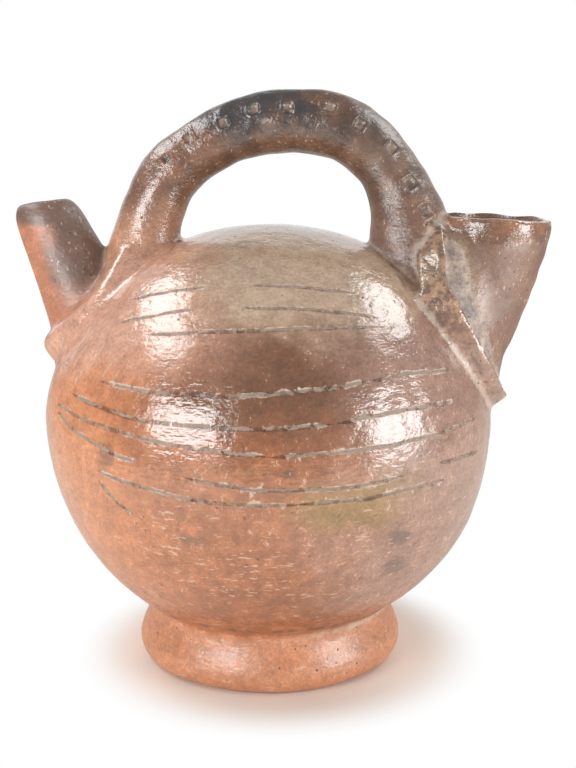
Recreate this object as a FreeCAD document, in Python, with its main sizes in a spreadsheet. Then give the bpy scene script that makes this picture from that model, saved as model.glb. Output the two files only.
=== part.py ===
"""A burnished earthenware jug with a basket handle, a filling funnel and a drinking spout.

The jug is one piece of fired clay. Its origin is on the table under the middle of its overall
width, +Z is up and +X points to the funnel. The handle and both spouts stand in the XZ plane,
and -Y is the front. It is drawn about the belly's own axis, and the whole body is moved to
the origin at the end. Lengths are in millimetres and angles in degrees.
"""

import FreeCAD
import Part
import Sketcher
import math
import os

SIZES = [
    ("belly_radius", 105.0, "outer radius of the round belly"),
    ("wall", 6.5, "thickness of the clay wall"),
    ("crown_drop", 12.0, "how far the crown falls short of a full ball"),
    ("shoulder_round", 50.0, "radius of the shoulder's curve, from the belly up to the crown"),
    ("foot_height", 27.5, "height of the waist where the foot meets the belly"),
    ("foot_waist_radius", 57.5, "radius of that waist"),
    ("foot_lip_radius", 63.5, "radius of the foot at its flared lip"),
    ("foot_lip_height", 8.0, "height of the lip above the table"),
    ("foot_lip_round", 5.0, "rounding of the lip"),
    ("foot_stand_radius", 57.0, "outer radius of the ring that stands on the table"),
    ("foot_ring_width", 12.0, "width of that ring"),
    ("added_clay_depth", 10.0, "how deep the parts that are luted on are pressed into the belly"),
    ("arch_radius", 65.0, "radius of the handle's centre line"),
    ("arch_sink", 18.0, "how far the arch's centre lies below the crown"),
    ("arch_shift", 6.5, "how far the arch's centre stands towards the funnel"),
    ("arch_reach", 102.0, "angle from the top of the arch to each buried root"),
    ("leg_place", 68.0, "angle from the top of the arch to where each leg begins"),
    ("grip_thickness", 28.5, "thickness of the handle at its top"),
    ("leg_thickness", 30.5, "thickness of the handle where a leg begins"),
    ("root_thickness", 43.0, "thickness of the handle at each buried root"),
    ("cordon_slope", 15.0, "slope of a cordon's top face, rising inwards"),
    ("cordon_round", 1.5, "rounding of a cordon's edge"),
    ("funnel_cordon_tilt", 29.0, "elevation of the funnel cordon's axis"),
    ("funnel_cordon_foot", 46.5, "radius at which that cordon leaves the belly"),
    ("funnel_cordon_edge", 43.0, "radius of its outer edge"),
    ("funnel_cordon_rise", 10.5, "height of that edge above its foot"),
    ("funnel_root_tilt", 24.0, "elevation of the middle of the funnel's root"),
    ("funnel_root_radius", 45.5, "outer radius of the funnel at its root"),
    ("funnel_neck_radius", 28.3, "outer radius of the funnel just below its mouth"),
    ("funnel_neck_inset", 3.5, "how far the middle of that neck stands inside the mouth's"),
    ("funnel_neck_drop", 8.5, "how far the middle of the neck lies below the crown"),
    ("funnel_neck_facing", 80.0, "how steeply the neck faces up"),
    ("funnel_mouth_radius", 27.0, "outer radius of the funnel's mouth"),
    ("funnel_mouth_reach", 104.5, "distance from the jug's axis to the middle of the mouth"),
    ("funnel_mouth_rise", 4.5, "height of the mouth above the crown"),
    ("funnel_bowl_radius", 23.0, "inner radius of the funnel half way down"),
    ("throat_radius", 16.0, "radius of the hole pierced from the funnel into the belly"),
    ("spout_cordon_tilt", 36.0, "elevation of the spout cordon's axis"),
    ("spout_cordon_foot", 36.0, "radius at which that cordon leaves the belly"),
    ("spout_cordon_edge", 32.5, "radius of its outer edge"),
    ("spout_cordon_rise", 9.0, "height of that edge above its foot"),
    ("spout_root_tilt", 31.0, "elevation of the middle of the spout's root"),
    ("spout_root_radius", 31.0, "outer radius of the spout at its root"),
    ("spout_tip_radius", 14.2, "outer radius of the spout's tip"),
    ("spout_tip_reach", 107.0, "distance from the jug's axis to the middle of the tip"),
    ("spout_tip_rise", 8.5, "height of the tip above the crown"),
    ("spout_hole_radius", 7.0, "radius of the drinking hole at the tip"),
    ("spout_bore_radius", 12.0, "radius of the bore where it enters the belly"),
    ("mouth_round", 2.0, "rounding of the mouth's outer rim"),
    ("tip_round", 5.5, "rounding of the tip's outer rim"),
    ("line_width", 1.7, "width of an incised line"),
    ("line_depth", 0.8, "depth of an incised line"),
    ("punch_width", 4.4, "width of a punched mark at the top of the handle"),
    ("punch_depth", 1.2, "depth of that mark"),
    ("punch_slope", 38.0, "slope of a punched mark's sides"),
    ("punch_facing", 26.0, "how far above the level a punched mark faces"),
    ("punch_start", -47.0, "angle from the top of the arch to the first punched mark"),
    ("punch_sweep", 116.0, "angle from the first punched mark to the last"),
    ("punch_count", 10.0, "number of punched marks on each face of the handle"),
]

# Each incised line is drawn with a point through three places on the belly. A place is an
# angle from the front, towards the funnel, and an angle above the belly's widest level.
INCISED_LINES = [
    ("CrownLine", (-45, 42.4), (-6, 48.7), (36, 44.5)),
    ("HighLine", (-47, 34.1), (-7, 41.3), (39, 36.4)),
    ("ShoulderLine", (-37, 31.6), (5, 34.9), (40, 33.9)),
    ("UpperBellyLine", (-47, 18.5), (0, 19.0), (57, 20.4)),
    ("BellyLine", (-57, 14.2), (0, 10.7), (55, 12.8)),
    ("WidestLine", (-65, 10.0), (5, 4.5), (66, 7.0)),
    ("LowerBellyLine", (-61, 8.3), (-15, -1.2), (37, -1.8)),
    ("LowestLine", (-44, -2.1), (8, -6.4), (50, -5.1)),
]

BELLY_HEIGHT = "(sizes.foot_height + sqrt(sizes.belly_radius ^ 2 - sizes.foot_waist_radius ^ 2))"
CROWN_HEIGHT = "(" + BELLY_HEIGHT + " + sizes.belly_radius - sizes.crown_drop)"
SHOULDER_CENTRE = "(sizes.belly_radius - sizes.shoulder_round)"
LIP_CENTRE = "(sizes.foot_lip_radius - sizes.foot_lip_round)"
ARCH_HEIGHT = "(" + CROWN_HEIGHT + " - sizes.arch_sink)"
MOUTH_HEIGHT = "(" + CROWN_HEIGHT + " + sizes.funnel_mouth_rise)"
TIP_HEIGHT = "(" + CROWN_HEIGHT + " + sizes.spout_tip_rise)"
FUNNEL_EDGE = "(sizes.funnel_mouth_reach + sizes.funnel_mouth_radius)"
SPOUT_EDGE = "(sizes.spout_tip_reach + sizes.spout_tip_radius)"

# A bore starts and ends this far past the clay, so that it cuts clean through.
PAST_THE_CLAY = "1"

doc = FreeCAD.newDocument("Pitcher")


def make_sheet():
    """The spreadsheet of driving dimensions, one named cell to a size."""
    sheet = doc.addObject("Spreadsheet::Sheet", "sizes")
    for row, (alias, value, meaning) in enumerate(SIZES, start=1):
        sheet.set("A%d" % row, alias)
        sheet.set("B%d" % row, str(value))
        sheet.set("C%d" % row, meaning)
        sheet.setAlias("B%d" % row, alias)
    doc.recompute()
    return sheet


sizes = make_sheet()


def amount(formula):
    """What a formula of the sheet comes to, as a plain number."""
    return float(sizes.evalExpression(formula))


def point(across, along):
    return FreeCAD.Vector(across, along, 0)


def new_sketch(body, name, role, shift=(), turn_axis=None, turn=None):
    """A sketch on the body's own origin plane, moved and turned in that plane's frame."""
    plane = next(item for item in body.Origin.OriginFeatures if item.Role == role)
    sketch = body.newObject("Sketcher::SketchObject", name)
    sketch.AttachmentSupport = (plane, [""])
    sketch.MapMode = "FlatFace"
    if turn_axis:
        turned = FreeCAD.Rotation(FreeCAD.Vector(*turn_axis), amount(turn))
        sketch.AttachmentOffset = FreeCAD.Placement(FreeCAD.Vector(), turned)
        sketch.setExpression("AttachmentOffset.Rotation.Angle", turn)
    for axis, formula in shift:
        sketch.setExpression("AttachmentOffset.Base." + axis, formula)
    return sketch


def relate(sketch, kind, *where):
    """A constraint without a size."""
    sketch.addConstraint(Sketcher.Constraint(kind, *where))


def bind(sketch, kind, *where, to):
    """A dimension of the sketch that follows a formula of the sheet."""
    index = sketch.addConstraint(Sketcher.Constraint(kind, *where, amount(to)))
    sketch.setExpression("Constraints[%d]" % index, to)


def arc(centre, radius, start, end):
    """An arc in the sketch plane, counter-clockwise between two angles in radians."""
    return Part.ArcOfCircle(Part.Circle(centre, FreeCAD.Vector(0, 0, 1), radius), start, end)


def circle_sketch(body, name, radius, across, height, facing):
    """A circle in the plane of the handle and spouts, at a distance across and a height.

    It faces along a line in that plane, at an angle that rises from +X.
    """
    place = (("y", height), ("z", across))
    sketch = new_sketch(body, name, "YZ_Plane", place, (1, 0, 0), "-(%s)" % facing)
    sketch.addGeometry(Part.Circle(point(0, 0), FreeCAD.Vector(0, 0, 1), amount(radius)))
    relate(sketch, "Coincident", 0, 3, -1, 1)
    bind(sketch, "Radius", 0, to=radius)
    return sketch


def draw_polygon(sketch, corners):
    """A closed polygon, each corner given as two formulas."""
    spots = [point(amount(across), amount(along)) for across, along in corners]
    for index, spot in enumerate(spots):
        sketch.addGeometry(Part.LineSegment(spots[index - 1], spot))
    for index, (across, along) in enumerate(corners):
        relate(sketch, "Coincident", index, 2, (index + 1) % len(corners), 1)
        bind(sketch, "DistanceX", -1, 1, index, 2, to=across)
        bind(sketch, "DistanceY", -1, 1, index, 2, to=along)


def free_sketch(body, name, centre, out, up):
    """A sketch at any place, with its first axis pointing out and its second one up."""
    sketch = new_sketch(body, name, "XY_Plane")
    turned = FreeCAD.Rotation(out, up, out.cross(up), "XYZ")
    sketch.AttachmentOffset = FreeCAD.Placement(centre, turned)
    return sketch


def new_feature(body, kind, name):
    """A feature of the body whose faces are kept as they meet, without merging them."""
    feature = body.newObject("PartDesign::" + kind, name)
    feature.Refine = False
    return feature


def revolve(body, kind, name, sketch, axis):
    """A full turn of a sketch about one of its own axes, added or cut away."""
    feature = new_feature(body, kind, name)
    feature.Profile = sketch
    feature.ReferenceAxis = (sketch, [axis])
    feature.Angle = 360
    doc.recompute()
    return feature


def loft(body, kind, name, sections, ruled=True):
    """A form drawn through closed sections, added or cut away."""
    feature = new_feature(body, kind, name)
    feature.Profile = sections[0]
    feature.Sections = sections[1:]
    feature.Ruled = ruled
    doc.recompute()
    return feature


def round_circle(body, name, radius, centre, circle_radius):
    """A fillet on the edges that run along one circle, given by its centre and radius."""
    base = body.Tip
    names = []
    for number, edge in enumerate(base.Shape.Edges, start=1):
        spots = [] if edge.Degenerated else edge.discretize(5)
        apart = [abs(spot.distanceToPoint(centre) - circle_radius) for spot in spots]
        if spots and max(apart) < 0.01:
            names.append("Edge%d" % number)
    feature = new_feature(body, "Fillet", name)
    feature.Base = (base, names)
    feature.setExpression("Radius", radius)
    doc.recompute()
    return feature


def crown_ball():
    """How far the shoulder's centre stands out and the crown ball's centre lies below it.

    The third number is the angle at which the shoulder flows into the crown.
    """
    outside = amount(SHOULDER_CENTRE)
    above = amount("sizes.belly_radius - sizes.crown_drop - sizes.shoulder_round")
    sink = (outside ** 2 - above ** 2) / (2 * above)
    return outside, sink, math.atan2(sink, outside)


def draw_dome(sketch, inset, low_angle):
    """The round belly, the shoulder above its widest level and the crown, moved in by an inset.

    Three arcs flow into one another. The crown is part of a larger ball than the belly.
    """
    belly = amount("sizes.belly_radius")
    outside, sink, turn = crown_ball()
    shoulder_radius = amount("sizes.shoulder_round - " + inset)
    middle = point(0, amount(BELLY_HEIGHT))
    crown_radius = math.hypot(outside, sink) + shoulder_radius
    crown = sketch.addGeometry(arc(middle - point(0, sink), crown_radius, turn, math.pi / 2))
    shoulder = sketch.addGeometry(arc(middle + point(outside, 0), shoulder_radius, 0, turn))
    low = sketch.addGeometry(arc(middle, belly - amount(inset), low_angle, 0))
    relate(sketch, "Tangent", crown, 1, shoulder, 2)
    relate(sketch, "Tangent", shoulder, 1, low, 2)
    relate(sketch, "Horizontal", shoulder, 3, low, 3)
    relate(sketch, "PointOnObject", crown, 2, -2)
    relate(sketch, "PointOnObject", crown, 3, -2)
    relate(sketch, "PointOnObject", low, 3, -2)
    bind(sketch, "DistanceY", -1, 1, low, 3, to=BELLY_HEIGHT)
    bind(sketch, "DistanceX", -1, 1, shoulder, 3, to=SHOULDER_CENTRE)
    bind(sketch, "Radius", low, to="sizes.belly_radius - " + inset)
    bind(sketch, "DistanceY", -1, 1, crown, 2, to=CROWN_HEIGHT + " - " + inset)
    return crown, low


def add_turned_form(body):
    """The belly with its foot ring, turned as one form with the inside still full."""
    sketch = new_sketch(body, "TurnedProfile", "YZ_Plane")
    middle = amount(BELLY_HEIGHT)
    belly = amount("sizes.belly_radius")
    waist = point(amount("sizes.foot_waist_radius"), amount("sizes.foot_height"))
    roundness = amount("sizes.foot_lip_round")
    lip_centre = point(amount(LIP_CENTRE), amount("sizes.foot_lip_height"))
    lip = lip_centre + point(roundness, 0)
    under_lip = lip_centre - point(0, roundness)
    stand = point(amount("sizes.foot_stand_radius"), 0)
    recess = point(amount("sizes.foot_stand_radius - sizes.foot_ring_width"), 0)
    ceiling = point(recess.x, middle - math.sqrt(belly ** 2 - recess.x ** 2))
    crown, low = draw_dome(sketch, "0", -math.acos(waist.x / belly))
    flare = sketch.addGeometry(Part.LineSegment(waist, lip))
    turn_in = sketch.addGeometry(arc(lip_centre, roundness, -math.pi / 2, 0))
    heel = sketch.addGeometry(Part.LineSegment(under_lip, stand))
    ring = sketch.addGeometry(Part.LineSegment(stand, recess))
    inner = sketch.addGeometry(Part.LineSegment(recess, ceiling))
    bottom_end = -math.acos(recess.x / belly)
    bottom = sketch.addGeometry(arc(point(0, middle), belly, -math.pi / 2, bottom_end))
    top = point(0, amount(CROWN_HEIGHT))
    axis = sketch.addGeometry(Part.LineSegment(point(0, middle - belly), top))
    relate(sketch, "Coincident", low, 1, flare, 1)
    relate(sketch, "Coincident", flare, 2, turn_in, 2)
    relate(sketch, "Coincident", turn_in, 1, heel, 1)
    relate(sketch, "Coincident", heel, 2, ring, 1)
    relate(sketch, "Coincident", ring, 2, inner, 1)
    relate(sketch, "Coincident", inner, 2, bottom, 2)
    relate(sketch, "Coincident", bottom, 3, low, 3)
    relate(sketch, "Coincident", bottom, 1, axis, 1)
    relate(sketch, "Coincident", axis, 2, crown, 2)
    relate(sketch, "Equal", bottom, low)
    relate(sketch, "PointOnObject", bottom, 1, -2)
    relate(sketch, "PointOnObject", heel, 2, -1)
    relate(sketch, "PointOnObject", ring, 2, -1)
    relate(sketch, "Vertical", inner)
    relate(sketch, "Horizontal", turn_in, 3, turn_in, 2)
    relate(sketch, "Vertical", turn_in, 3, turn_in, 1)
    bind(sketch, "DistanceX", -1, 1, low, 1, to="sizes.foot_waist_radius")
    bind(sketch, "DistanceX", -1, 1, turn_in, 3, to=LIP_CENTRE)
    bind(sketch, "DistanceY", -1, 1, turn_in, 3, to="sizes.foot_lip_height")
    bind(sketch, "Radius", turn_in, to="sizes.foot_lip_round")
    bind(sketch, "DistanceX", -1, 1, heel, 2, to="sizes.foot_stand_radius")
    bind(sketch, "DistanceX", ring, 2, ring, 1, to="sizes.foot_ring_width")
    revolve(body, "Revolution", "TurnedForm", sketch, "V_Axis")


def tilted_circle(body, name, radius, side, tilt, height):
    """A circle that faces out along a line from the belly's centre, at a height on it.

    The line rises by the tilt towards one side, +1 for the funnel's and -1 for the spout's.
    """
    across = "%d * (%s) * cos(%s)" % (side, height, tilt)
    along = "%s + (%s) * sin(%s)" % (BELLY_HEIGHT, height, tilt)
    facing = tilt if side > 0 else "180 - " + tilt
    return circle_sketch(body, name, radius, across, along, facing)


def level_circle(body, name, radius, across, height):
    """A circle that faces straight up."""
    return circle_sketch(body, name, radius, across, height, "90")


def on_the_belly(radius):
    """The distance from the belly's centre to a circle of this radius drawn on the belly."""
    return "sqrt(sizes.belly_radius ^ 2 - (%s) ^ 2)" % radius


def add_cordon(body, name, side, prefix, inner):
    """A raised band of clay round the root of the funnel or the spout.

    It is turned about the line that rises from the belly's centre by the cordon's tilt.
    """
    tilt = "sizes.%s_cordon_tilt" % prefix
    foot = "sizes.%s_cordon_foot" % prefix
    edge = "sizes.%s_cordon_edge" % prefix
    rise = "sizes.%s_cordon_rise" % prefix
    foot_height = on_the_belly(foot)
    edge_height = "%s + %s" % (foot_height, rise)
    buried = foot_height + " - sizes.added_clay_depth"
    buried_foot = "%s + (%s - %s) * sizes.added_clay_depth / %s" % (foot, foot, edge, rise)
    top = "%s + (%s - (%s)) * tan(sizes.cordon_slope)" % (edge_height, edge, inner)
    corners = [(inner, buried), (buried_foot, buried), (edge, edge_height), (inner, top)]
    middle = (("y", BELLY_HEIGHT),)
    turn = "%d * (90 - %s)" % (-side, tilt)
    sketch = new_sketch(body, name + "Profile", "XZ_Plane", middle, (0, 0, 1), turn)
    draw_polygon(sketch, corners)
    revolve(body, "Revolution", name, sketch, "V_Axis")
    angle = math.radians(amount(tilt))
    out = amount(edge_height)
    centre = FreeCAD.Vector(side * out * math.cos(angle), 0, amount(BELLY_HEIGHT) + out * math.sin(angle))
    round_circle(body, name + "Edge", "sizes.cordon_round", centre, amount(edge))


def add_handle(body):
    """The basket handle, drawn along an arch through round sections that swell to its roots."""
    between = "(sizes.grip_thickness + sizes.leg_thickness) / 2"
    half = [
        ("Root", "sizes.arch_reach", "sizes.root_thickness"),
        ("Leg", "sizes.leg_place", "sizes.leg_thickness"),
        ("Bow", "sizes.leg_place / 2", between),
    ]
    right = [("Right" + name, angle, thickness) for name, angle, thickness in half]
    left = [("Left" + name, "-" + angle, thickness) for name, angle, thickness in reversed(half)]
    sections = []
    for name, angle, thickness in right + [("Grip", "0", "sizes.grip_thickness")] + left:
        height = "%s + sizes.arch_radius * cos(%s)" % (ARCH_HEIGHT, angle)
        across = "sizes.arch_shift + sizes.arch_radius * sin(%s)" % angle
        half_thickness = "(%s) / 2" % thickness
        facing = "-(%s)" % angle
        sections.append(circle_sketch(body, name + "Section", half_thickness, across, height, facing))
    loft(body, "AdditiveLoft", "Handle", sections, ruled=False)


def add_funnel(body):
    """The filling funnel, from its root on the shoulder to its level mouth."""
    radius = "sizes.funnel_root_radius"
    height = on_the_belly(radius) + " - sizes.added_clay_depth"
    root = tilted_circle(body, "FunnelRoot", radius, 1, "sizes.funnel_root_tilt", height)
    mouth = level_circle(
        body, "FunnelMouth", "sizes.funnel_mouth_radius", "sizes.funnel_mouth_reach", MOUTH_HEIGHT
    )
    across = "sizes.funnel_mouth_reach - sizes.funnel_neck_inset"
    along = CROWN_HEIGHT + " - sizes.funnel_neck_drop"
    facing = "sizes.funnel_neck_facing"
    neck = circle_sketch(body, "FunnelNeck", "sizes.funnel_neck_radius", across, along, facing)
    loft(body, "AdditiveLoft", "Funnel", [root, neck, mouth], ruled=False)


def add_spout(body):
    """The drinking spout, a cone that leans outwards."""
    radius = "sizes.spout_root_radius"
    height = on_the_belly(radius) + " - sizes.added_clay_depth"
    root = tilted_circle(body, "SpoutRoot", radius, -1, "sizes.spout_root_tilt", height)
    tip = level_circle(
        body, "SpoutTip", "sizes.spout_tip_radius", "-sizes.spout_tip_reach", TIP_HEIGHT
    )
    loft(body, "AdditiveLoft", "Spout", [root, tip])


def cut_inside(body):
    """The hollow of the belly, one wall in from its outside."""
    sketch = new_sketch(body, "InsideProfile", "YZ_Plane")
    crown, low = draw_dome(sketch, "sizes.wall", -math.pi / 2)
    middle = amount(BELLY_HEIGHT)
    bottom = point(0, middle - amount("sizes.belly_radius - sizes.wall"))
    axis = sketch.addGeometry(Part.LineSegment(bottom, point(0, amount(CROWN_HEIGHT + " - sizes.wall"))))
    relate(sketch, "Coincident", low, 1, axis, 1)
    relate(sketch, "Coincident", crown, 2, axis, 2)
    relate(sketch, "PointOnObject", low, 1, -2)
    revolve(body, "Groove", "Inside", sketch, "V_Axis")


def cut_funnel_bore(body):
    """The funnel's bowl, and the throat pierced through the belly's wall below it."""
    tilt = "sizes.funnel_cordon_tilt"
    throat_height = "sizes.belly_radius - sizes.wall"
    past_mouth = "(%s + %s)" % (MOUTH_HEIGHT, PAST_THE_CLAY)
    mouth = level_circle(
        body, "BowlMouth", "sizes.funnel_mouth_radius - sizes.wall",
        "sizes.funnel_mouth_reach", past_mouth,
    )
    across = "(sizes.funnel_mouth_reach + (%s) * cos(%s)) / 2" % (throat_height, tilt)
    along = "(%s + %s + (%s) * sin(%s)) / 2" % (MOUTH_HEIGHT, BELLY_HEIGHT, throat_height, tilt)
    facing = "(90 + %s) / 2" % tilt
    bowl = circle_sketch(body, "BowlMiddle", "sizes.funnel_bowl_radius", across, along, facing)
    throat = tilted_circle(body, "Throat", "sizes.throat_radius", 1, tilt, throat_height)
    loft(body, "SubtractiveLoft", "Bowl", [mouth, bowl, throat], ruled=False)
    pierced = new_feature(body, "Pocket", "PiercedThroat")
    pierced.Profile = throat
    pierced.setExpression("Length", "2 * sizes.wall")
    doc.recompute()


def cut_spout_bore(body):
    """The drinking bore, a straight taper from the tip into the belly."""
    past_tip = "(%s + %s)" % (TIP_HEIGHT, PAST_THE_CLAY)
    tip = level_circle(
        body, "BoreTip", "sizes.spout_hole_radius", "-sizes.spout_tip_reach", past_tip
    )
    inside = "sizes.belly_radius - 3 * sizes.wall"
    root = tilted_circle(
        body, "BoreRoot", "sizes.spout_bore_radius", -1, "sizes.spout_root_tilt", inside
    )
    loft(body, "SubtractiveLoft", "SpoutBore", [tip, root])


def round_rims(body):
    """The soft outer rims of the funnel's mouth and the spout's tip."""
    mouth = FreeCAD.Vector(amount("sizes.funnel_mouth_reach"), 0, amount(MOUTH_HEIGHT))
    round_circle(body, "MouthRim", "sizes.mouth_round", mouth, amount("sizes.funnel_mouth_radius"))
    tip = FreeCAD.Vector(-amount("sizes.spout_tip_reach"), 0, amount(TIP_HEIGHT))
    round_circle(body, "TipRim", "sizes.tip_round", tip, amount("sizes.spout_tip_radius"))


def belly_spot(azimuth, elevation):
    """A place on the outside of the belly, by its angles from the front and above the middle."""
    outside, sink, turn = crown_ball()
    shoulder = amount("sizes.shoulder_round")
    up = math.radians(elevation)
    level, rise = math.cos(up), math.sin(up)
    crown_start = math.atan2(shoulder * math.sin(turn), outside + shoulder * math.cos(turn))
    if up > crown_start:
        crown = math.hypot(outside, sink) + shoulder
        reach = math.sqrt(crown ** 2 - (sink * level) ** 2) - sink * rise
    elif up > 0:
        reach = outside * level + math.sqrt(shoulder ** 2 - (outside * rise) ** 2)
    else:
        reach = amount("sizes.belly_radius")
    across = reach * level
    turned = math.radians(azimuth)
    height = amount(BELLY_HEIGHT) + reach * rise
    return FreeCAD.Vector(across * math.sin(turned), -across * math.cos(turned), height)


def incise_line(body, name, places):
    """A V-shaped line cut into the belly along the arc through three places on it."""
    start, middle, end = [belly_spot(*place) for place in places]
    circle = Part.Circle(start, middle, end)
    from_start = (start - circle.Center).normalize()
    from_end = (end - circle.Center).normalize()
    sketch = free_sketch(
        body, name + "Profile", circle.Center, (from_start + from_end).normalize(), circle.Axis
    )
    past = "(sizes.line_depth + %s)" % PAST_THE_CLAY
    half_width = "sizes.line_width / 2 * %s / sizes.line_depth" % past
    outer = "%.6f + %s" % (circle.Radius, PAST_THE_CLAY)
    tip = ("%.6f - sizes.line_depth" % circle.Radius, "0")
    draw_polygon(sketch, [tip, (outer, half_width), (outer, "-" + half_width)])
    line = new_feature(body, "Groove", name)
    line.Profile = sketch
    line.ReferenceAxis = (sketch, ["V_Axis"])
    line.Midplane = True
    line.Angle = math.degrees(from_start.getAngle(from_end))
    doc.recompute()
    return line


def add_lines(body):
    """The incised lines on the front, and the same lines on the back."""
    lines = [incise_line(body, name, places) for name, *places in INCISED_LINES]
    back = new_feature(body, "Mirrored", "BackLines")
    back.Originals = lines
    plane = next(item for item in body.Origin.OriginFeatures if item.Role == "XZ_Plane")
    back.MirrorPlane = (plane, [""])
    body.Tip = back
    doc.recompute()


def punch_mark(body, name, side):
    """A square pit pressed into one face of the handle with a blunt stick, -1 for the front's."""
    angle = math.radians(amount("sizes.punch_start"))
    facing = math.radians(amount("sizes.punch_facing"))
    away = FreeCAD.Vector(math.sin(angle), 0, math.cos(angle))
    along = FreeCAD.Vector(math.cos(angle), 0, -math.sin(angle))
    out = away * math.sin(facing) + FreeCAD.Vector(0, side * math.cos(facing), 0)
    centre = FreeCAD.Vector(amount("sizes.arch_shift"), 0, amount(ARCH_HEIGHT))
    line = centre + away * amount("sizes.arch_radius")
    past = "(sizes.leg_thickness / 2 + %s)" % PAST_THE_CLAY
    depth = "%s - sizes.grip_thickness / 2 + sizes.punch_depth" % past
    half = "sizes.punch_width / 2 + (%s - sizes.punch_depth) * tan(sizes.punch_slope)" % depth
    sketch = free_sketch(body, name + "Profile", line + out * amount(past), along, out.cross(along))
    corners = [(half, half), ("-(%s)" % half, half), ("-(%s)" % half, "-(%s)" % half)]
    draw_polygon(sketch, corners + [(half, "-(%s)" % half)])
    mark = new_feature(body, "Pocket", name)
    mark.Profile = sketch
    mark.setExpression("Length", depth)
    mark.setExpression("TaperAngle", "-sizes.punch_slope")
    doc.recompute()
    return mark


def add_punches(body):
    """A row of punched marks round the arch, on the front and the back of the handle."""
    marks = [punch_mark(body, "FrontPunch", -1), punch_mark(body, "BackPunch", 1)]
    centre = (("x", "sizes.arch_shift"), ("y", ARCH_HEIGHT))
    pivot = new_sketch(body, "ArchPivot", "XZ_Plane", centre)
    row = new_feature(body, "PolarPattern", "Punches")
    row.Originals = marks
    row.Axis = (pivot, ["N_Axis"])
    row.Reversed = True
    row.setExpression("Angle", "sizes.punch_sweep")
    row.setExpression("Occurrences", "sizes.punch_count")
    body.Tip = row
    doc.recompute()


def build_pitcher():
    """The whole jug as one body, in the order in which its parts were joined and pierced."""
    body = doc.addObject("PartDesign::Body", "Pitcher")
    body.Label = "pitcher"
    doc.recompute()
    add_turned_form(body)
    add_cordon(body, "FunnelCordon", 1, "funnel", "sizes.throat_radius + sizes.wall")
    add_cordon(body, "SpoutCordon", -1, "spout", "sizes.spout_bore_radius + sizes.wall")
    add_handle(body)
    add_funnel(body)
    add_spout(body)
    cut_inside(body)
    cut_funnel_bore(body)
    cut_spout_bore(body)
    round_rims(body)
    add_lines(body)
    add_punches(body)
    body.setExpression("Placement.Base.x", "(%s - %s) / 2" % (SPOUT_EDGE, FUNNEL_EDGE))
    return body


def check_and_write(body):
    """Stops on any object that failed, then writes the solid."""
    doc.recompute()
    for item in doc.Objects:
        if "Invalid" in item.State or "Error" in item.State:
            raise RuntimeError("%s failed: %s" % (item.Name, item.State))
    shape = body.Shape
    if shape.isNull() or not shape.isValid() or len(shape.Solids) != 1:
        raise RuntimeError("%s is not one valid solid" % body.Label)
    os.makedirs("parts", exist_ok=True)
    shape.exportStep("parts/%s.step" % body.Label)


check_and_write(build_pitcher())
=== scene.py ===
import math

import bpy
import numpy as np
from mathutils import Matrix, Vector, noise
from mathutils.bvhtree import BVHTree
from mathutils.kdtree import KDTree


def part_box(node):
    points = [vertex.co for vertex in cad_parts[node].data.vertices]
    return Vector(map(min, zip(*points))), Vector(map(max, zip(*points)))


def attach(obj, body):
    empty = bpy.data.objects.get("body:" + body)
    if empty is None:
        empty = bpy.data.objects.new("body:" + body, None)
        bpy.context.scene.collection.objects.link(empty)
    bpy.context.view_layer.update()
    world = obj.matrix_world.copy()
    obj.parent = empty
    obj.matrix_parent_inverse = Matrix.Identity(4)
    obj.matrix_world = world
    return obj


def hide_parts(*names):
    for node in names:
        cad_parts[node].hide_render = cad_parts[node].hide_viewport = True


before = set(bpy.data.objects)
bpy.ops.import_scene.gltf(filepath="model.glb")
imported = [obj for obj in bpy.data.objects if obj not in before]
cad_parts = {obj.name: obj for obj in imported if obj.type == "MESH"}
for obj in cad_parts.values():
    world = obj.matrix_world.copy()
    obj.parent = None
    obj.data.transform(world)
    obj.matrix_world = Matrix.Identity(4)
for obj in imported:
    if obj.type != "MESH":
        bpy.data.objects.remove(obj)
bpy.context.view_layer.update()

# The belly is a thrown ball of earthenware, a little flatter over the crown. It is closed at
# the top, so that the jug is filled and emptied through its two side openings only.

CAD_LOW, CAD_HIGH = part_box("pitcher")
BELLY_RADIUS = CAD_HIGH.y
BELLY_HEIGHT = 0.11536
AXIS_X = -0.00515
CROWN_RISE = 0.093
WALL = 0.0065
RING_SIDES = 96
TOUCH = 1e-6


def pick(form):
    """Only this form is selected, and it is the active one."""
    bpy.ops.object.select_all(action="DESELECT")
    form.select_set(True)
    bpy.context.view_layer.objects.active = form
    return form


def places(form, kind="co"):
    """The places or the normals of a form's corners, as an array with a row each."""
    spots = np.empty(3 * len(form.data.vertices))
    form.data.vertices.foreach_get(kind, spots)
    return spots.reshape(-1, 3)


def move_to(form, spots):
    form.data.vertices.foreach_set("co", spots.ravel())
    form.data.update()


def choose(form, wanted):
    """Enters edit mode with only the wanted corners selected, one True or False for each."""
    pick(form)
    bpy.ops.object.mode_set(mode="EDIT")
    bpy.ops.mesh.select_mode(type="VERT")
    bpy.ops.mesh.select_all(action="DESELECT")
    bpy.ops.object.mode_set(mode="OBJECT")
    form.data.vertices.foreach_set("select", wanted)
    bpy.ops.object.mode_set(mode="EDIT")


def thrown_ball(name, radius, crown_rise):
    """A ball round the belly's middle, with its upper half pressed to a lower crown."""
    bpy.ops.object.select_all(action="DESELECT")
    bpy.ops.mesh.primitive_uv_sphere_add(
        segments=2 * RING_SIDES, ring_count=RING_SIDES, radius=radius, location=(0, 0, BELLY_HEIGHT)
    )
    ball = bpy.context.object
    ball.name = name
    bpy.ops.object.transform_apply()
    choose(ball, places(ball)[:, 2] > BELLY_HEIGHT + TOUCH)
    bpy.ops.transform.resize(
        value=(1, 1, crown_rise / radius), center_override=(0, 0, BELLY_HEIGHT)
    )
    bpy.ops.object.mode_set(mode="OBJECT")
    return ball


belly = thrown_ball("belly", BELLY_RADIUS, CROWN_RISE)

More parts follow.
